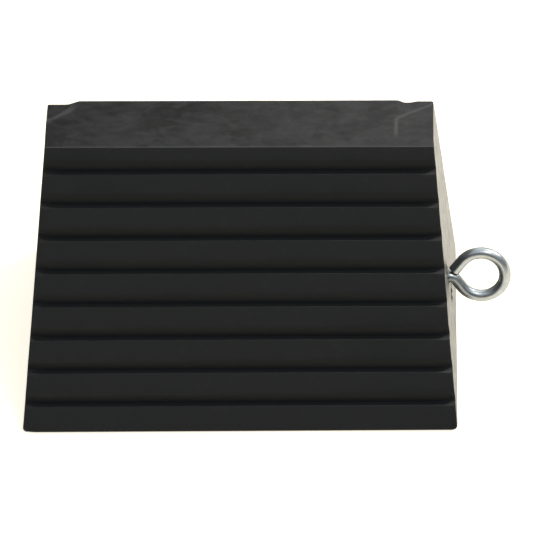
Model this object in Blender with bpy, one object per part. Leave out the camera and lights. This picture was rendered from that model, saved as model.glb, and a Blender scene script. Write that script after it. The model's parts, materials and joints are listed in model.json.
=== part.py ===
"""Rubber wheel chock with a pull eye.

A solid moulded rubber wedge: a ribbed slope that faces the tyre, a flat top land,
and both ends drafted inwards towards the top. A bent-wire eye bolt enters the right
end square to its drafted face and screws into a nut that is moulded into the rubber
behind a wide washer.

Frame: metres, +Z up, origin at the centre of the flat base. The ribbed slope faces -Y
and the eye is on the +X end.
"""
import math

import bmesh
import bpy
import numpy as np
from mathutils import Matrix, Vector

# Block
BASE_WIDTH = 0.2032
BASE_DEPTH = 0.1223
HEIGHT = 0.0995
LAND_DEPTH = 0.0336
END_DRAFT = math.radians(6.3)
END_EDGE_RADIUS = 0.0008
END_EDGE_STEPS = 3

# Radii of the corners of the cross-section
TOE_RADIUS = 0.0008
REAR_BASE_RADIUS = 0.0020
REAR_TOP_RADIUS = 0.0030
LAND_EDGE_RADIUS = 0.0008
CORNER_STEPS = 3

# Grooves: distances run up the slope from the toe, depths run into the rubber
GROOVE_COUNT = 8
FIRST_LIP = 0.0132
LIP_PITCH = 0.01537
GROOVE_DEPTH = 0.0034
GROOVE_FLOOR = 0.0024
LIP_WALL_LEAN = 0.0001
ROLL_OFF = 0.0049
ROLL_OFF_STEPS = 4

# Eye bolt
WIRE_RADIUS = 0.00275
EYE_RADIUS = 0.0112
EYE_REACH = 0.0150
EYE_RISE = 0.0002
EYE_LEAN_BACK = math.radians(18.0)
NECK_TURN = math.radians(60.0)
NECK_RADIUS = 0.0040
EYE_END_ANGLE = math.radians(137.0)
FREE_END_REACH = 0.0025
FREE_END_CUT = math.radians(-38.0)
BOLT_HEIGHT = 0.0329
BOLT_FROM_TOE = 0.0701
BOLT_DEPTH = 0.0460
WIRE_SIDES = 16
EYE_STEPS = 44
NECK_STEPS = 6

# Thread on the bolt
THREAD_LENGTH = 0.0300
THREAD_PITCH = 0.00127
THREAD_CREST_RADIUS = 0.00310
THREAD_ROOT_RADIUS = 0.00245
THREAD_TIP_RADIUS = 0.0018
THREAD_RINGS_PER_PITCH = 3

# Moulded-in anchor
WASHER_RADIUS = 0.0159
WASHER_HOLE_RADIUS = 0.0036
WASHER_THICKNESS = 0.0016
WASHER_DEPTH = 0.0330
NUT_ACROSS_FLATS = 0.0111
NUT_THICKNESS = 0.0056
NUT_HOLE_RADIUS = 0.00345
NUT_CHAMFER = 0.0006
BORE_RADIUS = 0.0035
ROUND_SIDES = 32

GAP = 0.0003

# Derived sizes
SLOPE_RUN = BASE_DEPTH - LAND_DEPTH
SLOPE_LENGTH = math.hypot(SLOPE_RUN, HEIGHT)
DRAFT_RATIO = math.tan(END_DRAFT)


def clear_scene():
    for obj in list(bpy.data.objects):
        bpy.data.objects.remove(obj, do_unlink=True)


def make_material(name, colour, roughness, metallic):
    material = bpy.data.materials.new(name)
    material.use_nodes = True
    shader = material.node_tree.nodes["Principled BSDF"]
    shader.inputs["Base Color"].default_value = (*colour, 1.0)
    shader.inputs["Roughness"].default_value = roughness
    shader.inputs["Metallic"].default_value = metallic
    material.diffuse_color = (*colour, 1.0)
    return material


def add_object(name, mesh_builder, material, sharp_angle=35.0):
    """Make a named object from a bmesh, facing outwards and shaded smooth."""
    bmesh.ops.recalc_face_normals(mesh_builder, faces=mesh_builder.faces)
    mesh = bpy.data.meshes.new(name)
    mesh_builder.to_mesh(mesh)
    mesh_builder.free()
    mesh.materials.append(material)
    mesh.shade_smooth()
    mesh.set_sharp_from_angle(angle=math.radians(sharp_angle))
    obj = bpy.data.objects.new(name, mesh)
    bpy.context.scene.collection.objects.link(obj)
    return obj


def loft(rings):
    """Join rings of the same number of points into one closed body."""
    builder = bmesh.new()
    loops = [[builder.verts.new(point) for point in ring] for ring in rings]
    for loop, next_loop in zip(loops, loops[1:]):
        for i in range(len(loop)):
            j = (i + 1) % len(loop)
            builder.faces.new((loop[i], loop[j], next_loop[j], next_loop[i]))
    builder.faces.new(loops[0])
    builder.faces.new(loops[-1])
    return builder


def line_crossing(point_a, direction_a, point_b, direction_b):
    """Where two straight lines of the cross-section cross."""
    cross = direction_a.cross(direction_b)
    along = (point_b - point_a).cross(direction_b) / cross
    return point_a + direction_a * along


def corner_arc(before, corner, after, radius):
    """Points of an arc that rounds one corner of the cross-section."""
    to_before = (before - corner).normalized()
    to_after = (after - corner).normalized()
    half_angle = to_before.angle(to_after) / 2
    bisector = (to_before + to_after).normalized()
    centre = corner + bisector * (radius / math.sin(half_angle))
    start = corner + to_before * (radius / math.tan(half_angle)) - centre
    end = corner + to_after * (radius / math.tan(half_angle)) - centre
    points = []
    for step in range(CORNER_STEPS + 1):
        blend = step / CORNER_STEPS
        offset = start.lerp(end, blend)
        points.append(centre + offset.normalized() * radius)
    return points


def groove_outline():
    """One groove, top to bottom: (distance above the lip, depth below the slope)."""
    points = []
    for step in range(ROLL_OFF_STEPS + 1):
        turn = math.pi / 2 * step / ROLL_OFF_STEPS
        above = GROOVE_FLOOR + LIP_WALL_LEAN + ROLL_OFF * (1 - math.sin(turn))
        points.append((above, GROOVE_DEPTH * (1 - math.cos(turn))))
    points.append((LIP_WALL_LEAN, GROOVE_DEPTH))
    points.append((0.0, 0.0))
    return points


def cross_section(inset):
    """Outline in the YZ plane, with every outer face moved inwards by inset."""
    toe = Vector((-BASE_DEPTH / 2, 0.0))
    uphill = Vector((SLOPE_RUN, HEIGHT)).normalized()
    outward = Vector((-uphill.y, uphill.x))
    slope_start = toe - outward * inset
    base_line = (Vector((0.0, inset)), Vector((1.0, 0.0)))
    rear_line = (Vector((BASE_DEPTH / 2 - inset, 0.0)), Vector((0.0, 1.0)))
    top_line = (Vector((0.0, HEIGHT - inset)), Vector((1.0, 0.0)))
    slope_line = (slope_start, uphill)
    toe_corner = line_crossing(*base_line, *slope_line)
    rear_base = line_crossing(*base_line, *rear_line)
    rear_top = line_crossing(*top_line, *rear_line)
    land_edge = line_crossing(*top_line, *slope_line)

    corners = [
        (toe_corner, rear_base, rear_top, REAR_BASE_RADIUS),
        (rear_base, rear_top, land_edge, REAR_TOP_RADIUS),
        (rear_top, land_edge, toe_corner, LAND_EDGE_RADIUS),
    ]
    outline = []
    for before, corner, after, radius in corners:
        outline += corner_arc(before, corner, after, max(radius - inset, GAP))
    for index in reversed(range(GROOVE_COUNT)):
        lip = FIRST_LIP + LIP_PITCH * index
        for above, depth in groove_outline():
            outline.append(toe + uphill * (lip + above) - outward * max(depth, inset))
    outline += corner_arc(land_edge, toe_corner, rear_base, max(TOE_RADIUS - inset, GAP))
    return outline


def end_stations():
    """(distance in from the end face, inset of the outline) round the end's edge."""
    stations = []
    for step in range(END_EDGE_STEPS + 1):
        turn = math.pi / 2 * step / END_EDGE_STEPS
        in_from_end = END_EDGE_RADIUS * (1 - math.sin(turn))
        inset = END_EDGE_RADIUS * (1 - math.cos(turn))
        stations.append((in_from_end, inset))
    return stations


def build_block(material):
    left_half = []
    right_half = []
    for in_from_end, inset in end_stations():
        outline = cross_section(inset)
        half_widths = [BASE_WIDTH / 2 - point.y * DRAFT_RATIO - in_from_end for point in outline]
        left_half.append([(-w, p.x, p.y) for w, p in zip(half_widths, outline)])
        right_half.append([(w, p.x, p.y) for w, p in zip(half_widths, outline)])
    builder = loft(left_half[::-1] + right_half)
    return add_object("rubber_block", builder, material, sharp_angle=28.0)


def bolt_frame():
    """Matrix of the eye bolt: local X runs out along its axis, local Z up in the eye."""
    axis = Vector((math.cos(END_DRAFT), 0.0, math.sin(END_DRAFT)))
    up_end_face = Vector((-math.sin(END_DRAFT), 0.0, math.cos(END_DRAFT)))
    eye_up = up_end_face * math.cos(EYE_LEAN_BACK) + Vector((0, 1, 0)) * math.sin(EYE_LEAN_BACK)
    side = eye_up.cross(axis)
    root = Vector((
        BASE_WIDTH / 2 - BOLT_HEIGHT * DRAFT_RATIO,
        BOLT_FROM_TOE - BASE_DEPTH / 2,
        BOLT_HEIGHT,
    ))
    frame = Matrix((axis, side, eye_up)).transposed().to_4x4()
    frame.translation = root
    return frame


def turned_body(profile, sides):
    """Closed body turned about local X from (position, radius) pairs."""
    rings = []
    for position, radius in profile:
        ring = []
        for side in range(sides):
            angle = 2 * math.pi * side / sides
            ring.append((position, radius * math.cos(angle), radius * math.sin(angle)))
        rings.append(ring)
    return loft(rings)


def thread_radius(position, angle):
    """Radius of the bolt at a distance out from the end face and an angle round it."""
    thread_start = -BOLT_DEPTH + THREAD_PITCH
    thread_end = -BOLT_DEPTH + THREAD_LENGTH
    if position > thread_end:
        return WIRE_RADIUS
    if position < thread_start:
        tip_blend = (position + BOLT_DEPTH) / THREAD_PITCH
        return THREAD_TIP_RADIUS + (THREAD_ROOT_RADIUS - THREAD_TIP_RADIUS) * tip_blend
    phase = (position / THREAD_PITCH - angle / (2 * math.pi)) % 1.0
    ridge = 1 - abs(2 * phase - 1)
    return THREAD_ROOT_RADIUS + (THREAD_CREST_RADIUS - THREAD_ROOT_RADIUS) * ridge


def arc_points(centre, radius, start, end, steps):
    """Points and directions of travel along an arc, in the plane of the eye."""
    points = []
    turn_sign = 1.0 if end > start else -1.0
    for angle in np.linspace(start, end, steps):
        place = centre + radius * Vector((math.cos(angle), math.sin(angle)))
        travel = Vector((-math.sin(angle), math.cos(angle))) * turn_sign
        points.append((place, travel))
    return points


def eye_path():
    """Centre line of the wire from the bolt's tip to its free end."""
    eye_centre = Vector((EYE_REACH, EYE_RISE))
    eye_start = 1.5 * math.pi - NECK_TURN
    eye_end = 2 * math.pi + EYE_END_ANGLE
    meeting = eye_centre + EYE_RADIUS * Vector((math.cos(eye_start), math.sin(eye_start)))
    corner_reach = meeting.x + meeting.y / math.tan(NECK_TURN)
    neck_start = corner_reach - NECK_RADIUS * math.tan(NECK_TURN / 2)
    neck_centre = Vector((neck_start, -NECK_RADIUS))

    forward = Vector((1.0, 0.0))
    path = []
    thread_rings = round(THREAD_LENGTH / THREAD_PITCH * THREAD_RINGS_PER_PITCH)
    for position in np.linspace(-BOLT_DEPTH, -BOLT_DEPTH + THREAD_LENGTH, thread_rings):
        path.append((Vector((float(position), 0.0)), forward))
    path.append((Vector((-BOLT_DEPTH + THREAD_LENGTH + THREAD_PITCH, 0.0)), forward))
    upright = math.pi / 2
    path += arc_points(neck_centre, NECK_RADIUS, upright, upright - NECK_TURN, NECK_STEPS)
    path += arc_points(eye_centre, EYE_RADIUS, eye_start, eye_end, EYE_STEPS)

    last_place, last_travel = path[-1]
    to_free_end = (FREE_END_REACH - last_place.x) / last_travel.x
    path.append((last_place + last_travel * to_free_end, last_travel))
    return path


def build_eye_bolt(material):
    path = eye_path()
    rings = []
    for place, travel in path:
        across = Vector((-travel.y, travel.x))
        ring = []
        for side in range(WIRE_SIDES):
            angle = 2 * math.pi * side / WIRE_SIDES
            radius = thread_radius(place.x, angle) if place.x < 0 else WIRE_RADIUS
            in_plane = place + across * (radius * math.cos(angle))
            ring.append(Vector((in_plane.x, radius * math.sin(angle), in_plane.y)))
        rings.append(ring)

    end_place, end_travel = path[-1]
    cut_normal = Vector((-math.sin(FREE_END_CUT), 0.0, math.cos(FREE_END_CUT)))
    travel = Vector((end_travel.x, 0.0, end_travel.y))
    cut_point = Vector((end_place.x, 0.0, end_place.y))
    for point in rings[-1]:
        point += travel * ((cut_point - point).dot(cut_normal) / travel.dot(cut_normal))

    eye_bolt = add_object("eye_bolt", loft(rings), material, sharp_angle=40.0)
    eye_bolt.matrix_world = bolt_frame()
    return eye_bolt


def build_washer(material):
    half = WASHER_THICKNESS / 2
    builder = turned_body([(-half, WASHER_RADIUS), (half, WASHER_RADIUS)], ROUND_SIDES)
    washer = add_object("anchor_washer", builder, material)
    washer.matrix_world = bolt_frame() @ Matrix.Translation((-WASHER_DEPTH - half, 0, 0))
    drill(washer, WASHER_HOLE_RADIUS, WASHER_THICKNESS)
    return washer


def build_nut(material):
    half = NUT_THICKNESS / 2
    corner_radius = NUT_ACROSS_FLATS / 2 / math.cos(math.pi / 6)
    profile = [
        (-half, corner_radius - NUT_CHAMFER),
        (-half + NUT_CHAMFER / 2, corner_radius),
        (half - NUT_CHAMFER / 2, corner_radius),
        (half, corner_radius - NUT_CHAMFER),
    ]
    nut = add_object("anchor_nut", turned_body(profile, 6), material)
    depth = WASHER_DEPTH + WASHER_THICKNESS + GAP + half
    nut.matrix_world = bolt_frame() @ Matrix.Translation((-depth, 0, 0))
    drill(nut, NUT_HOLE_RADIUS, NUT_THICKNESS)
    return nut


def add_cutter(name, builder, frame):
    cutter_material = make_material(name + "_guide", (0.8, 0.2, 0.2), 0.5, 0.0)
    cutter = add_object(name, builder, cutter_material)
    cutter.matrix_world = frame
    cutter.hide_render = True
    cutter.display_type = "WIRE"
    return cutter


def cut(target, cutter):
    modifier = target.modifiers.new("cut_" + cutter.name, "BOOLEAN")
    modifier.operation = "DIFFERENCE"
    modifier.solver = "EXACT"
    modifier.object = cutter


def drill(target, radius, length):
    """Cut a hole through a turned piece along its own axis."""
    builder = turned_body([(-length, radius), (length, radius)], ROUND_SIDES)
    cut(target, add_cutter(target.name + "_hole", builder, target.matrix_world.copy()))


def cut_anchor_pocket(block):
    """Hollow for the bolt, the washer and the nut, open at the end face."""
    nut_corner = NUT_ACROSS_FLATS / 2 / math.cos(math.pi / 6)
    washer_front = -WASHER_DEPTH + GAP
    washer_back = -WASHER_DEPTH - WASHER_THICKNESS - GAP
    nut_back = washer_back - NUT_THICKNESS - GAP
    bore_end = -BOLT_DEPTH - GAP
    mouth = 0.002
    profile = [
        (mouth, BORE_RADIUS),
        (washer_front, BORE_RADIUS),
        (washer_front, WASHER_RADIUS + GAP),
        (washer_back, WASHER_RADIUS + GAP),
        (washer_back, nut_corner + GAP),
        (nut_back, nut_corner + GAP),
        (nut_back, BORE_RADIUS),
        (bore_end, BORE_RADIUS),
    ]
    builder = turned_body(profile, ROUND_SIDES)
    cut(block, add_cutter("anchor_pocket", builder, bolt_frame()))


def main():
    clear_scene()
    rubber = make_material("black_rubber", (0.020, 0.020, 0.021), 0.62, 0.0)
    zinc = make_material("zinc_plate", (0.62, 0.64, 0.66), 0.24, 1.0)
    block = build_block(rubber)
    cut_anchor_pocket(block)
    build_eye_bolt(zinc)
    build_washer(zinc)
    build_nut(zinc)
    bpy.context.view_layer.update()


main()
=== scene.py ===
"""Looks of the rubber wheel chock: a fine moulded block, its wire eye and their finishes.

Shapes are worked out in millimetres in the row's frame, with X towards the eye, Y from the
toe to the rear and Z up. Their meshes, and everything from the floor on, are in metres.
"""
import json
import math

import bmesh
import bpy
import numpy as np
from mathutils import Matrix, Vector, noise


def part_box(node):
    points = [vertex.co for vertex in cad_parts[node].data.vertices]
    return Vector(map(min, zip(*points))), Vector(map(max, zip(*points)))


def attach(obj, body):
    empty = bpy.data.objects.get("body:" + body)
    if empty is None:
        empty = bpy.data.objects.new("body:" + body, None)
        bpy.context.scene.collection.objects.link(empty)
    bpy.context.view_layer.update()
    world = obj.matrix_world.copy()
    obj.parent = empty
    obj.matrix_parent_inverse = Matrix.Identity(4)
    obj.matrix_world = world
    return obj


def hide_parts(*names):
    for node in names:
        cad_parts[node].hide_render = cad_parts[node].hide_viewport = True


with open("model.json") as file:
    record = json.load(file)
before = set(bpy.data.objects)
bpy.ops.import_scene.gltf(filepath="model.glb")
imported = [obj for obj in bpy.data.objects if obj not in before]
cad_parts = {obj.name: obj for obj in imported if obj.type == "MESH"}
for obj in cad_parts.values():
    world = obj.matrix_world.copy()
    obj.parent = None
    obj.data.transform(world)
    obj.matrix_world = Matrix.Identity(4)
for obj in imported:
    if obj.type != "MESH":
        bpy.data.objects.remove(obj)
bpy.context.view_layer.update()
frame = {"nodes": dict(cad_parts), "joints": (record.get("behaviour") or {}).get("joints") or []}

MM = 0.001

# ---------------------------------------------------------------- the block's section
BLOCK_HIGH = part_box("rubber_block")[1] / MM
HEIGHT = BLOCK_HIGH.z
REAR = BLOCK_HIGH.y
FULL_DEPTH = 122.3                  # from the rear to the toe, before the toe is rounded
SLOPE_RUN = 88.7
TOE = REAR - FULL_DEPTH
LAND_FRONT = TOE + SLOPE_RUN
SLOPE_LENGTH = math.hypot(SLOPE_RUN, HEIGHT)
UPHILL = np.array([SLOPE_RUN, HEIGHT]) / SLOPE_LENGTH
OUTWARD = np.array([-UPHILL[1], UPHILL[0]])

TOE_RADIUS = 0.8
REAR_BASE_RADIUS = 2.0
REAR_TOP_RADIUS = 3.0
LAND_EDGE_RADIUS = 0.6
LEAST_RADIUS = 0.15                 # left on a corner of an outline that is drawn in
LAND_EDGE_TRIM = 0.45 * LAND_EDGE_RADIUS
BASE_STEPS = 40
REAR_STEPS = 40
LAND_STEPS = 48
TOE_RIB_STEPS = 12

# ---------------------------------------------------------------- its ribs and grooves
# A rib rolls off downhill into a groove, whose steep wall ends at the lip of the next rib.
GROOVE_COUNT = 8
FIRST_LIP = 12.8                    # up the slope from the toe
LIP_PITCH = 15.42
GROOVE_DEPTH = 2.6
WALL_LEAN = 0.1
ROLL_OFF_START = 7.4                # above the lip
ROLL_OFF_END = 0.5                  # above the foot of the wall
ROLL_OFF_LATENESS = 1.15            # above 1, more of the fall comes late
LIP_RADIUS = 0.3
RIB_CROWN = 0.10
RIB_STEPS = 10
ROLL_OFF_STEPS = 16
WALL_STEPS = 4
LIP_STEPS = 7

# ---------------------------------------------------------------- its ends
END_DRAFT = math.tan(math.radians(6.3))
END_EDGE_RADIUS = 0.8
HALF_WIDTH = BLOCK_HIGH.x + END_EDGE_RADIUS * END_DRAFT
END_EDGE_STEPS = 6
NEAR_END_REACH = 11.5
NEAR_END_STEPS = 16
LAND_CORNER_SHARE = 0.9             # of the way from the middle to the near-end stations
LAND_CORNER_STEPS = 11
MIDDLE_STEPS = 74

# Near an end the grooves' walls lean and their lips soften.
FLARE_REACH = 10.5
FLARE_LEAN = 2.2
FLARE_LIP_RADIUS = 1.6

# The mould's errors: reach along and across the toe's rounded corners by side, and leans.
TOE_ROUNDING = {-1: (7.0, 1.7), 1: (3.4, 2.2)}
TOE_ROUNDING_START = TOE + 1.0
LEFT_DRAW_IN = 2.4
RIGHT_PUSH_OUT = 0.25
FRONT_EDGE_PUSH = 1.4               # more of the push at the slope's upper right edge
FRONT_EDGE_SHARE = 0.25
FRONT_EDGE_LOW = 30.0
FRONT_EDGE_RISE = 40.0
TOE_SKEW = 0.6
TOE_FORWARD = 0.3

# The rings that fill an end face clear the grooves first, then shrink to a centre.
CAP_CENTRE = np.array([REAR - 40.0, 33.0])
CAP_CLEAR_SHARE = 0.10
CAP_CLEAR_DEPTH = 5.0
CAP_CLEAR_NEAR_TOE = 0.45
CAP_SHARES = (0.012, 0.03, 0.05, 0.075, *np.linspace(CAP_CLEAR_SHARE, 0.955, 20))

# ---------------------------------------------------------------- marks on its top land
# A line runs between two places in X and Y. Behind a step, the land's rear corner is low.
LEFT_STEP = ((-89.6, 45.8), (-77.7, 54.8))
LEFT_STEP_HEIGHT = 2.2
LEFT_STEP_WIDTH = 4.0
LEFT_STEP_END = -74.5
LEFT_STEP_RUN_OUT = 7.5
LEFT_LINE = ((-89.6, 45.4), (-77.7, 54.4))
LEFT_LINE_WIDTH = 1.1
LEFT_LINE_STRENGTH = 0.6
LEFT_LINE_END = -76.0

RIGHT_STEP = ((74.0, 47.3), (90.0, 56.6))
RIGHT_STEP_HEIGHT = 1.5
RIGHT_STEP_WIDTH = 1.5
RIGHT_STEP_FRONT = 50.0
RIGHT_STEP_RISE = 8.0
RIGHT_HOLLOW_START = 73.5
RIGHT_HOLLOW_EASE = 79.5
RIGHT_HOLLOW_WIDTH = 4.0
RIGHT_LINE = ((73.6, 47.0), (90.1, 56.6))
RIGHT_LINE_START = 73.0
RIGHT_LINE_WIDTH = 0.75
UPRIGHT_LINE_X = 73.1
UPRIGHT_LINE_SLANT = 0.04
UPRIGHT_LINE_MIDDLE = 40
UPRIGHT_LINE_FRONT = 33.0
UPRIGHT_LINE_REAR = 48.0
RIGHT_PAD_START = 73.4
RIGHT_PAD_FRONT = 31.0
RIGHT_PAD_EDGE = 0.9
RIGHT_PAD_DEPTH = 0.12
LINE_HEIGHT = 0.22
# A painted highlight runs along the land's front edge.
FRONT_HIGHLIGHT_Y = LAND_FRONT + 0.2
FRONT_HIGHLIGHT_WIDTH = 0.6
FRONT_HIGHLIGHT_STRENGTH = 0.55

# A shallow pressed dent on the land, also coloured darker as painted shade.
DENT_CENTRE = (-84.0, 43.2)
DENT_ALONG = (0.95, -0.31)
DENT_LENGTH = 6.0
DENT_WIDTH = 1.5
DENT_BEND = 0.05
DENT_DEPTH = 0.35

# ---------------------------------------------------------------- its waviness
# Each wave is waves per millimetre, seed and height.
FACE_WAVES = ((0.028, 1, 0.22), (0.11, 2, 0.05))
END_WAVES = ((0.045, 3, 0.10), (0.16, 4, 0.025))
SLOPE_WAVE_SHARE = 0.7
FLAT_WAVE_SHARE = 0.8
SEED_STEP = (13.7, 5.1, 9.3)
RELIEF_BOTTOM = HEIGHT - 9.0
RELIEF_FADE = 6.0
REAR_MARGIN = 1.5
EDGE_FADE = 3.0

# ---------------------------------------------------------------- its grooves' painted shade, by depth
DARK_FROM_DEPTH = 0.45
DARK_EASE_DEPTH = 0.8
DARK_EASE_WIDTH = 1.2
DARK_EASE = 0.35
DARK_TO_DEPTH = 4.5


def smooth(value):
    """Smooth step from 0 to 1."""
    clipped = np.clip(value, 0.0, 1.0)
    return clipped * clipped * (3 - 2 * clipped)


def rises(value, start, width):
    """0 up to start, 1 from start + width on."""
    return smooth((value - start) / width)


def falls(value, end, width):
    """1 up to end - width, 0 from end on."""
    return smooth((end - value) / width)


def half_width(z):
    """Distance from the middle of the block to its drafted end face."""
    return HALF_WIDTH - z * END_DRAFT


def arc(before, corner, after, radius, steps):
    """Points of an arc that rounds one corner of the outline."""
    before, corner, after = (Vector(p) for p in (before, corner, after))
    to_before = (before - corner).normalized()
    to_after = (after - corner).normalized()
    half = to_before.angle(to_after) / 2
    centre = corner + (to_before + to_after).normalized() * (radius / math.sin(half))
    start = corner + to_before * (radius / math.tan(half)) - centre
    end = corner + to_after * (radius / math.tan(half)) - centre
    total = start.angle(end)
    points = []
    for step in range(steps + 1):
        share = step / steps
        mixed = start * math.sin((1 - share) * total) + end * math.sin(share * total)
        points.append(tuple(centre + mixed.normalized() * radius))
    return points


def straight(start, end, steps):
    """Points strictly between two others."""
    start, end = np.array(start), np.array(end)
    return [tuple(start + (end - start) * (i + 1) / (steps + 1)) for i in range(steps)]


def crossing(point_a, direction_a, point_b, direction_b):
    """Where two straight lines of the outline cross."""
    a, da, b, db = (Vector(v) for v in (point_a, direction_a, point_b, direction_b))
    return tuple(a + da * ((b - a).cross(db) / da.cross(db)))


def slope_point(s, depth):
    """Place in the YZ plane, from the distance up the slope and the depth below it."""
    return tuple(np.array([TOE, 0.0]) + UPHILL * s - OUTWARD * depth)


def rib_and_groove(rib_top, lip, inset, flare):
    """Slope points from the top of one rib down to the lip of the next, as (s, depth)."""
    lean = WALL_LEAN + flare * FLARE_LEAN
    roll_start = lip + ROLL_OFF_START
    roll_end = lip + lean + ROLL_OFF_END
    points = []
    for step in range(RIB_STEPS):
        share = (step + 1) / (RIB_STEPS + 1)
        points.append((rib_top + (roll_start - rib_top) * share, RIB_CROWN * share * share))
    for step in range(ROLL_OFF_STEPS + 1):
        share = step / ROLL_OFF_STEPS
        fall = float(smooth(share ** ROLL_OFF_LATENESS))
        depth = RIB_CROWN + (GROOVE_DEPTH - RIB_CROWN) * fall
        points.append((roll_start + (roll_end - roll_start) * share, depth))
    points.append((lip + lean, GROOVE_DEPTH))
    wall = math.hypot(lean, GROOVE_DEPTH)
    wall_s, wall_depth = lean / wall, GROOVE_DEPTH / wall
    trim = LIP_RADIUS + flare * FLARE_LIP_RADIUS
    for step in range(WALL_STEPS):
        along = wall - (wall - trim) * (step + 1) / (WALL_STEPS + 1)
        points.append((lip + wall_s * along, wall_depth * along))
    for step in range(LIP_STEPS + 1):
        share = step / LIP_STEPS
        keep, bend = (1 - share) ** 2, 2 * share * (1 - share)
        s = keep * (lip + wall_s * trim) + bend * lip + share ** 2 * (lip - trim)
        points.append((s, keep * wall_depth * trim))
    return [(s, max(depth, inset)) for s, depth in points]


def outline(inset, flare):
    """Closed outline in the YZ plane: base, rear, land, then down the ribbed slope."""
    def rounded(before, corner, after, radius, steps):
        return arc(before, corner, after, max(radius - inset, LEAST_RADIUS), steps)

    slope_start = slope_point(0.0, inset)
    toe = crossing((0, inset), (1, 0), slope_start, UPHILL)
    land_edge = crossing((0, HEIGHT - inset), (1, 0), slope_start, UPHILL)
    rear_base = (REAR - inset, inset)
    rear_top = (REAR - inset, HEIGHT - inset)
    toe_arc = rounded(land_edge, toe, rear_base, TOE_RADIUS, 4)
    base_arc = rounded(toe, rear_base, rear_top, REAR_BASE_RADIUS, 5)
    top_arc = rounded(rear_base, rear_top, land_edge, REAR_TOP_RADIUS, 7)
    edge_arc = rounded(rear_top, land_edge, toe, LAND_EDGE_RADIUS, 4)
    points = straight(toe_arc[-1], base_arc[0], BASE_STEPS)
    points += base_arc
    points += straight(base_arc[-1], top_arc[0], REAR_STEPS)
    points += top_arc
    points += straight(top_arc[-1], edge_arc[0], LAND_STEPS)
    points += edge_arc
    rib_top = SLOPE_LENGTH - LAND_EDGE_TRIM
    for index in reversed(range(GROOVE_COUNT)):
        lip = FIRST_LIP + LIP_PITCH * index
        points += [slope_point(s, d) for s, d in rib_and_groove(rib_top, lip, inset, flare)]
        rib_top = lip - LIP_RADIUS - flare * FLARE_LIP_RADIUS
    points += straight(points[-1], toe_arc[0], TOE_RIB_STEPS)
    points += toe_arc
    return np.array(points)


def stations():
    """Stations across the block: (side, distance in from the end, share across the middle).

    They are closest in the rounded edge, close in the flare and beside the land's corners,
    and wider apart between them.
    """
    distances = []
    for step in reversed(range(END_EDGE_STEPS + 1)):
        turn = math.pi / 2 * step / END_EDGE_STEPS
        distances.append(END_EDGE_RADIUS * (1 - math.sin(turn)))
    distances += list(np.linspace(END_EDGE_RADIUS, NEAR_END_REACH, NEAR_END_STEPS + 1)[1:])
    corner = np.linspace(LAND_CORNER_SHARE, 1.0, LAND_CORNER_STEPS + 1)[1:-1]
    between = np.linspace(-LAND_CORNER_SHARE, LAND_CORNER_SHARE, MIDDLE_STEPS + 1)
    left = [(-1, d, None) for d in distances]
    middle = [(0, distances[-1], share) for share in (*-corner[::-1], *between, *corner)]
    right = [(1, d, None) for d in reversed(distances)]
    return left + middle + right


def build_block_rings():
    """One outline of points at each station, from the left end to the right."""
    rings = []
    for side, distance, share in stations():
        from_flat = END_EDGE_RADIUS - min(distance, END_EDGE_RADIUS)
        inset = END_EDGE_RADIUS - math.sqrt(END_EDGE_RADIUS ** 2 - from_flat ** 2)
        flare = max(0.0, (FLARE_REACH - distance) / FLARE_REACH) ** 2
        shape = outline(inset, flare)
        reach = half_width(shape[:, 1]) - distance
        x = reach * (share if side == 0 else side)
        rings.append(np.column_stack([x, shape]))
    return np.array(rings)


def end_cap_rings(end_ring, side):
    """Rings that close an end: past the grooves first, then shrinking towards the middle."""
    shape = end_ring[:, 1:]
    from_toe = shape - np.array([TOE, 0.0])
    clear_depth = np.minimum(CAP_CLEAR_DEPTH, CAP_CLEAR_NEAR_TOE * (from_toe @ UPHILL))
    move = np.maximum(clear_depth + from_toe @ OUTWARD, 0.0)
    capped = []
    for share in CAP_SHARES:
        cleared = shape - OUTWARD * (move * min(share / CAP_CLEAR_SHARE, 1.0))[:, None]
        ring = cleared + (CAP_CENTRE - cleared) * share
        capped.append(np.column_stack([side * half_width(ring[:, 1]), ring]))
    return np.array(capped)


def beside(x, y, line):
    """Distance of points to the left of a line across the land."""
    start, end = line
    run, rise = end[0] - start[0], end[1] - start[1]
    return (run * (y - start[1]) - rise * (x - start[0])) / math.hypot(run, rise)


def ridge(distance, width):
    """1 on a line, fading to 0 over its width."""
    return np.exp(-(distance / width) ** 2)


def land_lines(x, y):
    """Raised lines on the land, also coloured paler as painted highlights: 1 on a line, 0 away
    from it.
    """
    slanted = ridge(beside(x, y, RIGHT_LINE), RIGHT_LINE_WIDTH) * rises(x, RIGHT_LINE_START, 1.2)
    from_upright = x - UPRIGHT_LINE_X - UPRIGHT_LINE_SLANT * (y - UPRIGHT_LINE_MIDDLE)
    upright = ridge(from_upright, RIGHT_LINE_WIDTH) * rises(y, UPRIGHT_LINE_FRONT, 5.0)
    upright = upright * falls(y, UPRIGHT_LINE_REAR, 1.5)
    left = ridge(beside(x, y, LEFT_LINE), LEFT_LINE_WIDTH) * falls(x, LEFT_LINE_END, 3.0)
    return np.maximum(np.maximum(slanted, upright), LEFT_LINE_STRENGTH * left)


def land_dent(x, y):
    """Pressed dent beside the left corner of the land, also coloured darker as painted shade."""
    from_x, from_y = x - DENT_CENTRE[0], y - DENT_CENTRE[1]
    along = from_x * DENT_ALONG[0] + from_y * DENT_ALONG[1]
    across = from_y * DENT_ALONG[0] - from_x * DENT_ALONG[1]
    off_middle = (across - DENT_BEND * along ** 2) / DENT_WIDTH
    return np.exp(-(along / DENT_LENGTH) ** 4 - off_middle ** 2)


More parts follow.
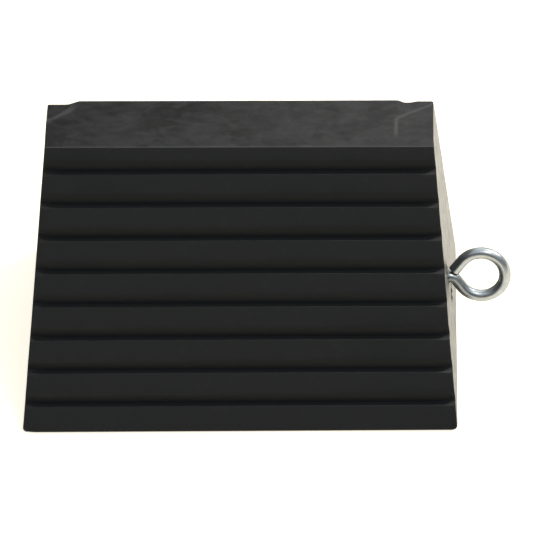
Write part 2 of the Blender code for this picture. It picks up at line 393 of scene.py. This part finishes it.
def land_relief(x, y):
    """Height change of the top land: low moulded corners, lines and a dent."""
    past_left = rises(beside(x, y, LEFT_STEP), 0.0, LEFT_STEP_WIDTH)
    change = -LEFT_STEP_HEIGHT * past_left * falls(x, LEFT_STEP_END, LEFT_STEP_RUN_OUT)
    right = beside(x, y, RIGHT_STEP)
    past_right = rises(right, 0.0, RIGHT_STEP_WIDTH) * rises(y, RIGHT_STEP_FRONT, RIGHT_STEP_RISE)
    hollow = 1 - 0.5 * rises(x, RIGHT_HOLLOW_EASE, RIGHT_HOLLOW_WIDTH)
    hollow = rises(x, RIGHT_HOLLOW_START, RIGHT_HOLLOW_WIDTH) * hollow
    change -= RIGHT_STEP_HEIGHT * past_right * hollow
    pad = rises(x, RIGHT_PAD_START, RIGHT_PAD_EDGE) * rises(y, RIGHT_PAD_FRONT, 5.0)
    change -= RIGHT_PAD_DEPTH * pad * falls(right, 0.0, RIGHT_PAD_EDGE)
    change += LINE_HEIGHT * land_lines(x, y)
    change -= DENT_DEPTH * land_dent(x, y)
    return change


def wave(points, scale, seed):
    """Low-frequency noise for an array of points, from -1 to 1."""
    offset = Vector([seed * step for step in SEED_STEP])
    return np.array([noise.noise(Vector(p) * scale + offset) for p in points])


def round_toe_corners(points):
    """Round both corners of the toe in plan."""
    for side, (along, across) in TOE_ROUNDING.items():
        in_from_end = half_width(points[..., 2]) - side * points[..., 0]
        near_end = np.clip(1 - in_from_end / along, 0, None)
        near_toe = np.clip(1 - (points[..., 1] - TOE_ROUNDING_START) / across, 0, None)
        away = np.maximum(np.hypot(near_end, near_toe), 1e-9)
        pull = np.where(near_end * near_toe > 0, 1 - np.maximum(near_end, near_toe) / away, 0.0)
        points[..., 0] -= side * along * near_end * pull
        points[..., 1] += across * near_toe * pull
    return points


def add_relief(rings):
    """Moulded land detail and the slight waviness of moulded rubber."""
    flat = rings.reshape(-1, 3)
    x, y, z = flat.T
    near_top = rises(z, RELIEF_BOTTOM, RELIEF_FADE) * (y > LAND_FRONT + 1.0)
    flat[:, 2] += land_relief(x, np.minimum(y, REAR - REAR_MARGIN)) * near_top
    clear = rises(z, 0.0, EDGE_FADE) * rises(half_width(z) - np.abs(x), 0.0, EDGE_FADE)
    slope_side = falls(y, LAND_FRONT + 2.0, 4.0)
    rear_side = rises(y, REAR - 1.0, 1.0)
    push = np.zeros(len(flat))
    for scale, seed, height in FACE_WAVES:
        push += wave(flat, scale, seed) * height * clear
    flat[:, 1] -= push * slope_side * SLOPE_WAVE_SHARE
    flat[:, 2] += push * slope_side * SLOPE_WAVE_SHARE
    flat[:, 2] -= np.abs(push) * near_top * FLAT_WAVE_SHARE
    flat[:, 1] -= np.abs(push) * rear_side * FLAT_WAVE_SHARE
    end_skin = falls(half_width(z) - np.abs(x), EDGE_FADE, EDGE_FADE)
    sag = np.zeros(len(flat))
    for scale, seed, height in END_WAVES:
        sag += (wave(flat, scale, seed) + 1) * height
    flat[:, 0] -= np.sign(x) * sag * end_skin
    return flat.reshape(rings.shape)


def warp(rings):
    """Small moulding errors: ends that lean and a toe that runs a little askew."""
    flat = rings.reshape(-1, 3)
    x, y, z = flat.T
    left = np.clip(-x / HALF_WIDTH, 0, 1) ** 2
    right = np.clip(x / HALF_WIDTH, 0, 1) ** 2
    slope_y = TOE + z * SLOPE_RUN / HEIGHT
    behind = np.clip((y - slope_y) / np.maximum(REAR - slope_y, 1.0), 0, 1)
    frontward = 1 - np.clip((y - TOE) / FULL_DEPTH, 0, 1)
    low = 1 - z / HEIGHT
    flat[:, 0] += LEFT_DRAW_IN * left * behind * low
    front_edge = 1 - rises(behind, 0.0, FRONT_EDGE_SHARE)
    front_edge = front_edge * rises(z, FRONT_EDGE_LOW, FRONT_EDGE_RISE)
    flat[:, 0] += RIGHT_PUSH_OUT * right * (1 + FRONT_EDGE_PUSH * front_edge)
    flat[:, 1] += (TOE_SKEW * x / HALF_WIDTH - TOE_FORWARD) * frontward * low
    return flat.reshape(rings.shape)


def add_mesh(name, rings):
    """Closed body from an array of rings of points in millimetres."""
    count, around = rings.shape[:2]
    faces = []
    for ring in range(count - 1):
        for i in range(around):
            j = (i + 1) % around
            a, b = ring * around, (ring + 1) * around
            faces.append((a + i, a + j, b + j, b + i))
    faces.append(tuple(range(around)))
    faces.append(tuple((count - 1) * around + i for i in reversed(range(around))))
    mesh = bpy.data.meshes.new(name)
    mesh.from_pydata((rings.reshape(-1, 3) * MM).tolist(), [], faces)
    builder = bmesh.new()
    builder.from_mesh(mesh)
    bmesh.ops.recalc_face_normals(builder, faces=builder.faces)
    builder.to_mesh(mesh)
    builder.free()
    mesh.shade_smooth()
    obj = bpy.data.objects.new(name, mesh)
    bpy.context.scene.collection.objects.link(obj)
    return obj


def combine(obj, tool, operation):
    """Cut one body out of another, or join them, and keep the result as plain mesh."""
    modifier = obj.modifiers.new("combine", "BOOLEAN")
    modifier.operation = operation
    modifier.solver = "MANIFOLD"
    modifier.object = tool
    depsgraph = bpy.context.evaluated_depsgraph_get()
    result = bpy.data.meshes.new_from_object(obj.evaluated_get(depsgraph))
    obj.modifiers.clear()
    old = obj.data
    obj.data = result
    bpy.data.meshes.remove(old)
    bpy.data.objects.remove(tool)


# ---------------------------------------------------------------- the eye bolt, in millimetres
EYE_JOINT = frame["joints"][0]
BOLT_ROOT = Vector(EYE_JOINT["pos_m"])
BOLT_AXIS = Vector(EYE_JOINT["axis"]).normalized()
WIRE_RADIUS = 2.75
WIRE_SIDES = 40
EYE_RADIUS = 11.20
EYE_REACH = 15.2
EYE_RISE = -0.2
EYE_LEAN_BACK = math.radians(18.0)
EYE_END_ANGLE = math.radians(137.0)
EYE_STEPS = 149
NECK_TURN = math.radians(60.0)
NECK_RADIUS = 4.0
NECK_STEPS = 13
FREE_END_REACH = 2.8
FREE_END_CUT = math.radians(-38.0)
BOLT_DEPTH = 46.0
SHANK_STEPS = 23
THREAD_LENGTH = 30.0
THREAD_PITCH = 1.27
THREAD_STEPS_PER_TURN = 8
THREAD_CREST_RADIUS = 3.10
THREAD_ROOT_RADIUS = 2.45
THREAD_TIP_RADIUS = 1.8

WASHER_RADIUS = 15.9
WASHER_THICKNESS = 1.6
WASHER_DEPTH = 33.0
NUT_ACROSS_FLATS = 11.1
NUT_THICKNESS = 5.6
BORE_RADIUS = 3.5
BORE_START = 13.0
MOUTH_RADIUS = 2.95
MOUTH_BEVEL = 0.5
POCKET_SIDES = 48
GAP = 0.3

FLAP_TOP = (2.8, -7.0)
FLAP_RUN = (-8.7, -4.7)
FLAP_DOWN = np.array([0.0, 0.475, -0.88])
FLAP_WIDTH = 4.2
FLAP_LIFT = 0.52
FLAP_ROOT = 0.5
FLAP_STEPS = 24


def bolt_matrix():
    """Local X runs out along the bolt, local Z up in the plane of the eye."""
    up_end_face = Vector((-BOLT_AXIS.z, 0.0, BOLT_AXIS.x))
    back = Vector((0.0, 1.0, 0.0))
    eye_up = up_end_face * math.cos(EYE_LEAN_BACK) + back * math.sin(EYE_LEAN_BACK)
    side = eye_up.cross(BOLT_AXIS)
    matrix = Matrix((BOLT_AXIS, side, eye_up)).transposed().to_4x4()
    matrix.translation = BOLT_ROOT
    return matrix


def eye_path():
    """Centre line of the wire as (place, travel) pairs, from its tip to its free end."""
    centre = np.array([EYE_REACH, EYE_RISE])
    start = 1.5 * math.pi - NECK_TURN
    end = 2 * math.pi + EYE_END_ANGLE
    meeting = centre + EYE_RADIUS * np.array([math.cos(start), math.sin(start)])
    corner = meeting[0] + meeting[1] / math.tan(NECK_TURN)
    neck_start = corner - NECK_RADIUS * math.tan(NECK_TURN / 2)
    thread_end = -BOLT_DEPTH + THREAD_LENGTH
    thread_rings = round(THREAD_LENGTH / THREAD_PITCH * THREAD_STEPS_PER_TURN)
    path = []
    for position in np.linspace(-BOLT_DEPTH, thread_end, thread_rings):
        path.append((np.array([position, 0.0]), np.array([1.0, 0.0])))
    for position in np.linspace(thread_end + 0.3, neck_start - 0.3, SHANK_STEPS + 1):
        path.append((np.array([position, 0.0]), np.array([1.0, 0.0])))
    for turn in np.linspace(0, NECK_TURN, NECK_STEPS + 1):
        along = neck_start + NECK_RADIUS * math.sin(turn)
        place = np.array([along, -NECK_RADIUS * (1 - math.cos(turn))])
        path.append((place, np.array([math.cos(turn), -math.sin(turn)])))
    neck_end, down = path[-1]
    for share in (0.33, 0.66):
        path.append((neck_end + (meeting - neck_end) * share, down))
    for angle in np.linspace(start, end, EYE_STEPS + 1):
        place = centre + EYE_RADIUS * np.array([math.cos(angle), math.sin(angle)])
        path.append((place, np.array([-math.sin(angle), math.cos(angle)])))
    place, travel = path[-1]
    rest = (FREE_END_REACH - place[0]) / travel[0]
    for share in (0.35, 0.7, 1.0):
        path.append((place + travel * rest * share, travel))
    return path


def bolt_radius(position, angle):
    """Radius of the straight part of the bolt, with its rolled thread."""
    thread_start = -BOLT_DEPTH + THREAD_PITCH
    thread_end = -BOLT_DEPTH + THREAD_LENGTH
    if position > thread_end:
        return WIRE_RADIUS
    if position < thread_start:
        share = (position + BOLT_DEPTH) / THREAD_PITCH
        return THREAD_TIP_RADIUS + (THREAD_ROOT_RADIUS - THREAD_TIP_RADIUS) * share
    phase = (position / THREAD_PITCH - angle / (2 * math.pi)) % 1.0
    flank = min(1.0, max(0.0, 1.35 - 2.7 * abs(phase - 0.5)))
    run_out = min(1.0, (thread_end - position) / THREAD_PITCH)
    radius = THREAD_ROOT_RADIUS + (THREAD_CREST_RADIUS - THREAD_ROOT_RADIUS) * flank
    return WIRE_RADIUS + (radius - WIRE_RADIUS) * run_out


def cut_free_end(ring, place, travel):
    """Slide the last ring's points along the wire on to a slanted cut."""
    cut_normal = np.array([-math.sin(FREE_END_CUT), 0.0, math.cos(FREE_END_CUT)])
    travel = np.array([travel[0], 0.0, travel[1]])
    place = np.array([place[0], 0.0, place[1]])
    slide = ((place - ring) @ cut_normal) / (travel @ cut_normal)
    return ring + slide[:, None] * travel


def store_wire_place(eye, path):
    """Store each point's place on the straightened wire, for marks that follow the wire."""
    places = np.array([place for place, travel in path])
    steps = np.linalg.norm(np.diff(places, axis=0), axis=1)
    length = np.concatenate([[0], np.cumsum(steps)])
    turn, along = np.meshgrid(2 * np.pi * np.arange(WIRE_SIDES) / WIRE_SIDES, length)
    wire_place = np.stack([np.cos(turn) * WIRE_RADIUS, np.sin(turn) * WIRE_RADIUS, along], axis=-1)
    attribute = eye.data.attributes.new("wire_place", "FLOAT_VECTOR", "POINT")
    attribute.data.foreach_set("vector", wire_place.reshape(-1).astype(np.float32))


def build_eye():
    """The bent wire, from its threaded tip inside the block to its cut free end."""
    path = eye_path()
    rings = []
    for place, travel in path:
        across = np.array([-travel[1], travel[0]])
        ring = []
        for side in range(WIRE_SIDES):
            angle = 2 * math.pi * side / WIRE_SIDES
            radius = bolt_radius(place[0], angle) if place[0] < -1 else WIRE_RADIUS
            spot = place + across * (radius * math.cos(angle))
            ring.append((spot[0], radius * math.sin(angle), spot[1]))
        rings.append(ring)
    rings = np.array(rings)
    rings[-1] = cut_free_end(rings[-1], *path[-1])
    eye = add_mesh("zinc_wire_eye", rings)
    store_wire_place(eye, path)
    eye.data.set_sharp_from_angle(angle=math.radians(38))
    eye.data.transform(bolt_matrix())
    return eye


def anchor_pocket():
    """Guide for the hollow round the bolt, its washer and its nut; X runs out of the end."""
    washer_front = -WASHER_DEPTH + GAP
    washer_back = -WASHER_DEPTH - WASHER_THICKNESS - GAP
    nut_back = washer_back - NUT_THICKNESS - GAP
    nut_corner = NUT_ACROSS_FLATS / 2 / math.cos(math.pi / 6)
    profile = [
        (2.0, MOUTH_RADIUS + MOUTH_BEVEL),
        (0.1, MOUTH_RADIUS + MOUTH_BEVEL),
        (0.1 - MOUTH_BEVEL, MOUTH_RADIUS),
        (1.0 - BORE_START, MOUTH_RADIUS),
        (-BORE_START, BORE_RADIUS),
        (washer_front, BORE_RADIUS),
        (washer_front, WASHER_RADIUS + GAP),
        (washer_back, WASHER_RADIUS + GAP),
        (washer_back, nut_corner + GAP),
        (nut_back, nut_corner + GAP),
        (nut_back, BORE_RADIUS),
        (-BOLT_DEPTH - GAP, BORE_RADIUS),
    ]
    turns = [2 * math.pi * side / POCKET_SIDES for side in range(POCKET_SIDES)]
    rings = []
    for position, radius in profile:
        rings.append([(position, radius * math.cos(t), radius * math.sin(t)) for t in turns])
    guide = add_mesh("pocket_guide", np.array(rings))
    guide.data.transform(bolt_matrix())
    return guide


def flap_under_bolt():
    """Guide for a thin lifted flap of rubber skin that runs down and forwards from the bolt."""
    root = np.array([FLAP_ROOT, 0, 0])
    rings = []
    for share in np.linspace(0, 1, FLAP_STEPS + 1):
        lift = FLAP_LIFT * math.sin(math.pi * share) ** 0.25 * (1 + 0.3 * math.sin(17 * share + 1))
        wander = 0.25 * math.sin(7 * share) + 0.12 * math.sin(23 * share)
        y, z = (top + run * share for top, run in zip(FLAP_TOP, FLAP_RUN))
        edge = np.array([0.0, y, z]) + FLAP_DOWN * wander
        rings.append([
            edge + np.array([lift, 0, 0]),
            edge - root,
            edge + FLAP_DOWN * FLAP_WIDTH - root,
        ])
    guide = add_mesh("flap_guide", np.array(rings))
    upright = Matrix((BOLT_AXIS, (0, 1, 0), BOLT_AXIS.cross((0, 1, 0)))).transposed().to_4x4()
    upright.translation = BOLT_ROOT
    guide.data.transform(upright)
    return guide


def mark_rubber(block):
    """Store where painted highlights, the dent's painted shade and the grooves' painted shade go
    on the rubber.
    """
    mesh = block.data
    places = np.zeros(len(mesh.vertices) * 3)
    mesh.vertices.foreach_get("co", places)
    x, y, z = places.reshape(-1, 3).T / MM
    on_land = (z > HEIGHT - 4.0) * (y > LAND_FRONT - 0.5)
    # Painted highlights: the land's raised lines and its front edge are coloured paler.
    front_highlight = FRONT_HIGHLIGHT_STRENGTH * ridge(y - FRONT_HIGHLIGHT_Y, FRONT_HIGHLIGHT_WIDTH)
    pale = np.maximum(land_lines(x, y), front_highlight) * on_land
    # Painted shade in the dent beside the land's left corner.
    dark = land_dent(x, y) * on_land
    # Painted shade: the grooves are coloured darker by their depth below the slope.
    below_slope = (y - TOE) * -OUTWARD[0] - z * OUTWARD[1]
    deep = 1 - DARK_EASE * rises(below_slope, DARK_EASE_DEPTH, DARK_EASE_WIDTH)
    deep = deep * rises(below_slope, 0.0, DARK_FROM_DEPTH)
    deep = deep * falls(below_slope, DARK_TO_DEPTH, 1.0) * (y < LAND_FRONT)
    for name, values in (("painted_highlight", pale), ("dent_painted_shade", dark), ("groove_painted_shade", deep)):
        attribute = mesh.attributes.new(name, "FLOAT", "POINT")
        attribute.data.foreach_set("value", values.astype(np.float32))


def build_block():
    """The moulded wedge, with the flap joined on and the anchor's hollow cut out."""
    rings = build_block_rings()
    left_cap = end_cap_rings(rings[0], -1)[::-1]
    right_cap = end_cap_rings(rings[-1], 1)
    rings = np.concatenate([left_cap, rings, right_cap])
    rings = warp(add_relief(round_toe_corners(rings)))
    block = add_mesh("ribbed_rubber_block", rings)
    combine(block, flap_under_bolt(), "UNION")
    combine(block, anchor_pocket(), "DIFFERENCE")
    mark_rubber(block)
    block.data.name = "ribbed_rubber_block"
    block.data.shade_smooth()
    block.data.set_sharp_from_angle(angle=math.radians(32))
    return block


# ---------------------------------------------------------------- materials
DUST_THIN = (0.0090, 0.0079, 0.0065)
DUST_THICK = (0.0440, 0.0415, 0.0396)
DUST_REDDISH = (0.038, 0.031, 0.032)
# Paler colour painted as highlights on the land's lines and front edge.
PAINTED_HIGHLIGHT_COLOUR = (0.075, 0.072, 0.069)
# Darker colour painted as the dent's shade.
DENT_SHADE_COLOUR = (0.012, 0.0115, 0.011)
RUBBER_DARK = (0.0145, 0.0147, 0.0148)
RUBBER_LIGHT = (0.0168, 0.0170, 0.0171)
# Darker colour painted down in the grooves as shade.
GROOVE_SHADE_COLOUR = (0.0088, 0.0093, 0.0102)

ZINC_DULL = (0.41, 0.44, 0.46)
ZINC_BRIGHT = (0.49, 0.51, 0.51)
ZINC_TARNISH = (0.44, 0.41, 0.35)
ZINC_EDGE_TINT = (0.50, 0.48, 0.42, 1.0)
STEEL_CLEAN = (0.42, 0.42, 0.42)
STEEL_STAIN = (0.24, 0.22, 0.20)

FLOOR_LIGHT = (0.90, 0.82, 0.68)
FLOOR_DARK = (0.89, 0.81, 0.67)
FLOOR_GLOW = (1.0, 0.93, 0.80, 1.0)


class Nodes:
    """Small helper that wires one material's nodes."""

    def __init__(self, name):
        self.material = bpy.data.materials.new(name)
        self.material.use_nodes = True
        self.tree = self.material.node_tree
        self.shader = self.tree.nodes["Principled BSDF"]
        self.place = self.tree.nodes.new("ShaderNodeTexCoord").outputs["Object"]

    def link(self, source, target):
        self.tree.links.new(source, target)

    def drive(self, **sources):
        """Link sources to the shader's sockets, named with _ for a space."""
        for name, source in sources.items():
            self.link(source, self.shader.inputs[name.replace("_", " ")])

    def split(self, vector, axis):
        """One axis of a vector."""
        node = self.tree.nodes.new("ShaderNodeSeparateXYZ")
        self.link(vector, node.inputs["Vector"])
        return node.outputs[axis]

    def facing(self, axis):
        """The surface normal's part along one axis of the object."""
        geometry = self.tree.nodes.new("ShaderNodeNewGeometry")
        return self.split(geometry.outputs["Normal"], axis)

    def attribute(self, name, output="Fac"):
        node = self.tree.nodes.new("ShaderNodeAttribute")
        node.attribute_name = name
        return node.outputs[output]

    def noise(self, scale, detail=4.0, rough=0.5, stretch=(1, 1, 1), distortion=0.0):
        mapping = self.tree.nodes.new("ShaderNodeMapping")
        mapping.inputs["Scale"].default_value = stretch
        self.link(self.place, mapping.inputs["Vector"])
        node = self.tree.nodes.new("ShaderNodeTexNoise")
        node.inputs["Scale"].default_value = scale
        node.inputs["Detail"].default_value = detail
        node.inputs["Roughness"].default_value = rough
        node.inputs["Distortion"].default_value = distortion
        self.link(mapping.outputs["Vector"], node.inputs["Vector"])
        return node.outputs["Fac"]

    def spread(self, value, low, high, to_low=0.0, to_high=1.0):
        """A value from low to high, eased and mapped to another range."""
        node = self.tree.nodes.new("ShaderNodeMapRange")
        node.interpolation_type = "SMOOTHSTEP"
        node.inputs["From Min"].default_value = low
        node.inputs["From Max"].default_value = high
        node.inputs["To Min"].default_value = to_low
        node.inputs["To Max"].default_value = to_high
        self.link(value, node.inputs["Value"])
        return node.outputs["Result"]

    def math(self, operation, a, b):
        node = self.tree.nodes.new("ShaderNodeMath")
        node.operation = operation
        for socket, value in zip(node.inputs, (a, b)):
            if isinstance(value, (int, float)):
                socket.default_value = value
            else:
                self.link(value, socket)
        return node.outputs["Value"]

    def mix(self, share, a, b):
        """A colour between two, each a tuple or a socket."""
        node = self.tree.nodes.new("ShaderNodeMix")
        node.data_type = "RGBA"
        self.link(share, node.inputs["Factor"])
        for socket, value in ((node.inputs[6], a), (node.inputs[7], b)):
            if isinstance(value, tuple):
                socket.default_value = (*value, 1.0)
            else:
                self.link(value, socket)
        return node.outputs[2]

    def mix_values(self, share, a, b):
        """A number between two, each a socket."""
        node = self.tree.nodes.new("ShaderNodeMix")
        node.data_type = "FLOAT"
        self.link(share, node.inputs[0])
        self.link(a, node.inputs[2])
        self.link(b, node.inputs[3])
        return node.outputs[0]

    def bump(self, height, strength, distance, before=None):
        node = self.tree.nodes.new("ShaderNodeBump")
        node.inputs["Strength"].default_value = strength
        node.inputs["Distance"].default_value = distance
        self.link(height, node.inputs["Height"])
        if before is not None:
            self.link(before, node.inputs["Normal"])
        return node.outputs["Normal"]


def land_colour_with_painted_light(nodes):
    """The land's colour: clouds and smears of dust, lighter to the right as painted light, painted
    highlights and a dent's painted shade.
    """
    cloud = nodes.noise(85.0, 4.0, 0.55, stretch=(1.0, 1.3, 1.0), distortion=0.8)
    smear = nodes.noise(170.0, 4.0, 0.6, stretch=(0.6, 1.6, 1.0), distortion=0.4)
    # Painted light: the land's colour grows lighter to the right, where the lamp on the right
    # falls.
    across = nodes.spread(nodes.split(nodes.place, "X"), -0.11, 0.09, -0.22, 0.40)
    dust_and_painted_light = nodes.math("MULTIPLY", nodes.spread(cloud, 0.38, 0.62), 0.33)
    dust_and_painted_light = nodes.math("ADD", dust_and_painted_light, nodes.math("MULTIPLY", nodes.spread(smear, 0.38, 0.66), 0.26))
    dust_and_painted_light = nodes.math("ADD", dust_and_painted_light, across)
    colour = nodes.mix(dust_and_painted_light, DUST_THIN, DUST_THICK)
    tint = nodes.spread(nodes.noise(38.0, 3.0, 0.5), 0.45, 0.60)
    colour = nodes.mix(nodes.math("MULTIPLY", tint, 0.35), colour, DUST_REDDISH)
    # Painted highlights on the land's lines and front edge.
    colour = nodes.mix(nodes.attribute("painted_highlight"), colour, PAINTED_HIGHLIGHT_COLOUR)
    # Painted shade in the dent.
    dark = nodes.math("MULTIPLY", nodes.attribute("dent_painted_shade"), 0.6)
    return nodes.mix(dark, colour, DENT_SHADE_COLOUR)


def clean_colour(nodes, end):
    """The colour of the ribs, the rear and the ends, darker down in the grooves as painted shade.
    """
    fleck = nodes.spread(nodes.noise(160.0, 4.0, 0.6), 0.5, 0.74)
    colour = nodes.mix(fleck, RUBBER_DARK, RUBBER_LIGHT)
    # Painted shade down in the grooves, left off the ends.
    off_end = nodes.math("SUBTRACT", 1.0, end)
    deep = nodes.math("MULTIPLY", nodes.attribute("groove_painted_shade"), off_end)
    return nodes.mix(deep, colour, GROOVE_SHADE_COLOUR)


def rubber_material():
    """Black moulded rubber: dusty on the land with painted light and shade on it, matt on the ribs
    with painted shade in the grooves, smoother on the ends.
    """
    nodes = Nodes("moulded_black_rubber")
    land = nodes.spread(nodes.facing("Z"), 0.86, 0.97)
    end = nodes.spread(nodes.math("ABSOLUTE", nodes.facing("X"), 0.0), 0.85, 0.97)
    grain = nodes.noise(650.0, 3.0, 0.55)
    rough = nodes.spread(grain, 0.3, 0.7, 0.58, 0.68)
    rough_end = nodes.spread(nodes.noise(180.0, 4.0, 0.6), 0.3, 0.7, 0.27, 0.37)
    skin = nodes.bump(grain, 0.16, 0.0003)
    nodes.drive(
        Base_Color=nodes.mix(land, clean_colour(nodes, end), land_colour_with_painted_light(nodes)),
        Roughness=nodes.mix_values(end, rough, rough_end),
        Specular_IOR_Level=nodes.spread(end, 0.0, 1.0, 0.20, 0.55),
        Normal=nodes.bump(nodes.noise(140.0, 3.0, 0.5), 0.25, 0.0004, skin),
    )
    return nodes.material


def zinc_material():
    """Zinc plate on drawn wire: fine lines along the wire, a grey bloom and faint tarnish."""
    nodes = Nodes("zinc_plated_wire")
    nodes.shader.inputs["Metallic"].default_value = 1.0
    nodes.shader.inputs["Specular Tint"].default_value = ZINC_EDGE_TINT
    bloom = nodes.spread(nodes.noise(320.0, 4.0, 0.6), 0.35, 0.7)
    tarnish = nodes.spread(nodes.noise(190.0, 3.0, 0.5), 0.52, 0.70)
    colour = nodes.mix(bloom, ZINC_DULL, ZINC_BRIGHT)
    nodes.place = nodes.attribute("wire_place", "Vector")
    drawn = nodes.noise(1.6, 4.0, 0.6, stretch=(1.0, 1.0, 0.05))
    nodes.drive(
        Base_Color=nodes.mix(nodes.math("MULTIPLY", tarnish, 0.4), colour, ZINC_TARNISH),
        Roughness=nodes.spread(drawn, 0.3, 0.7, 0.26, 0.38),
        Normal=nodes.bump(drawn, 0.30, 0.00012),
    )
    return nodes.material


def steel_material():
    """Plain steel of the washer and the nut inside the rubber, a little stained."""
    nodes = Nodes("plain_anchor_steel")
    nodes.shader.inputs["Metallic"].default_value = 1.0
    stain = nodes.spread(nodes.noise(260.0, 5.0, 0.65), 0.4, 0.72)
    nodes.drive(
        Base_Color=nodes.mix(stain, STEEL_CLEAN, STEEL_STAIN),
        Roughness=nodes.spread(nodes.noise(500.0, 3.0, 0.6), 0.3, 0.7, 0.32, 0.48),
        Normal=nodes.bump(nodes.noise(900.0, 3.0, 0.5), 0.15, 0.0001),
    )
    return nodes.material


def floor_material():
    """Pale warm floor that glows enough to stay white in the picture."""
    nodes = Nodes("pale_floor")
    nodes.drive(Base_Color=nodes.mix(nodes.noise(1.5, 2.0, 0.5), FLOOR_LIGHT, FLOOR_DARK))
    nodes.shader.inputs["Roughness"].default_value = 0.7
    nodes.shader.inputs["Emission Color"].default_value = FLOOR_GLOW
    nodes.shader.inputs["Emission Strength"].default_value = 0.62
    return nodes.material


# ---------------------------------------------------------------- pieces
rubber = rubber_material()
zinc = zinc_material()
steel = steel_material()

block = build_block()
block.data.materials.clear()
block.data.materials.append(rubber)
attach(block, "block")
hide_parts("rubber_block")

eye = build_eye()
eye.data.materials.append(zinc)
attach(eye, "eye")
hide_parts("eye_bolt")

for name in ("anchor_washer", "anchor_nut"):
    data = frame["nodes"][name].data
    for index in range(len(data.materials)):
        data.materials[index] = steel


# ---------------------------------------------------------------- floor, light and camera
FLOOR_REACH = 3.0
LAMP_TARGET = (0, 0, 0.03)

WORLD_COLOUR = (0.86, 0.94, 1.0, 1.0)
WORLD_BACK_SHARE = 0.55
WORLD_BRIGHT_FROM = 0.8
WORLD_DIM = 0.19
WORLD_BRIGHT = 0.92

CAMERA_PLACE = Vector((0.0782, -1.96568, 2.00722))
CAMERA_AIM = Vector((-0.02368, 0.70819, -0.70563))
CAMERA_ACROSS = Vector((0.99972, 0.01525, -0.01824))
CAMERA_SENSOR = 36.0
CAMERA_LENS = 400.4


def add_floor():
    """A wide plain floor that the chock stands on."""
    mesh = bpy.data.meshes.new("floor")
    sides = ((-1, -1), (1, -1), (1, 1), (-1, 1))
    corners = [(FLOOR_REACH * x, FLOOR_REACH * y, 0) for x, y in sides]
    mesh.from_pydata(corners, [], [(0, 1, 2, 3)])
    mesh.materials.append(floor_material())
    floor = bpy.data.objects.new("floor", mesh)
    bpy.context.scene.collection.objects.link(floor)


def add_area_light(name, location, target, size, power, colour):
    """A rectangular lamp aimed at a target."""
    light = bpy.data.lights.new(name, "AREA")
    light.shape = "RECTANGLE"
    light.size, light.size_y = size
    light.energy = power
    light.color = colour
    lamp = bpy.data.objects.new(name, light)
    bpy.context.scene.collection.objects.link(lamp)
    lamp.location = location
    aim = Vector(target) - Vector(location)
    lamp.rotation_euler = aim.to_track_quat("-Z", "Y").to_euler()


def add_lights():
    """A strip behind for the land, and two soft lamps on the right for the eye and the end."""
    add_area_light(
        "rear_strip",
        location=(0.20, 1.25, 1.30),
        target=LAMP_TARGET,
        size=(1.2, 0.35),
        power=3.4,
        colour=(1.0, 0.99, 0.95),
    )
    add_area_light(
        "near_right",
        location=(0.62, 0.42, 0.62),
        target=(0.02, 0.03, 0.05),
        size=(0.35, 0.35),
        power=4.0,
        colour=(1.0, 0.99, 0.97),
    )
    add_area_light(
        "over_right",
        location=(0.45, -0.32, 1.25),
        target=LAMP_TARGET,
        size=(0.42, 0.42),
        power=3.3,
        colour=(1.0, 0.98, 0.90),
    )


def add_world():
    """Dim in front and low down, brighter overhead and behind, like a room with a window."""
    world = bpy.data.worlds.new("studio")
    world.use_nodes = True
    tree = world.node_tree
    background = tree.nodes["Background"]
    place = tree.nodes.new("ShaderNodeTexCoord")
    split = tree.nodes.new("ShaderNodeSeparateXYZ")
    tree.links.new(place.outputs["Generated"], split.inputs["Vector"])
    lift = tree.nodes.new("ShaderNodeMath")
    lift.operation = "MULTIPLY_ADD"
    lift.inputs[1].default_value = WORLD_BACK_SHARE
    tree.links.new(split.outputs["Y"], lift.inputs[0])
    tree.links.new(split.outputs["Z"], lift.inputs[2])
    ramp = tree.nodes.new("ShaderNodeMapRange")
    ramp.interpolation_type = "SMOOTHSTEP"
    ramp.inputs["From Min"].default_value = 0.0
    ramp.inputs["From Max"].default_value = WORLD_BRIGHT_FROM
    ramp.inputs["To Min"].default_value = WORLD_DIM
    ramp.inputs["To Max"].default_value = WORLD_BRIGHT
    tree.links.new(lift.outputs["Value"], ramp.inputs["Value"])
    tree.links.new(ramp.outputs["Result"], background.inputs["Strength"])
    background.inputs["Color"].default_value = WORLD_COLOUR
    bpy.context.scene.world = world


def add_camera():
    """Camera at the photograph's angle, a long lens high up in front of the slope."""
    camera = bpy.data.cameras.new("camera")
    camera.sensor_width = CAMERA_SENSOR
    camera.lens = CAMERA_LENS
    rig = bpy.data.objects.new("camera", camera)
    bpy.context.scene.collection.objects.link(rig)
    aim = CAMERA_AIM.normalized()
    across = (CAMERA_ACROSS - aim * CAMERA_ACROSS.dot(aim)).normalized()
    matrix = Matrix((across, across.cross(aim), -aim)).transposed().to_4x4()
    matrix.translation = CAMERA_PLACE
    rig.matrix_world = matrix
    bpy.context.scene.camera = rig


add_floor()
add_world()
add_lights()
bpy.context.scene.view_settings.view_transform = "Standard"
add_camera()
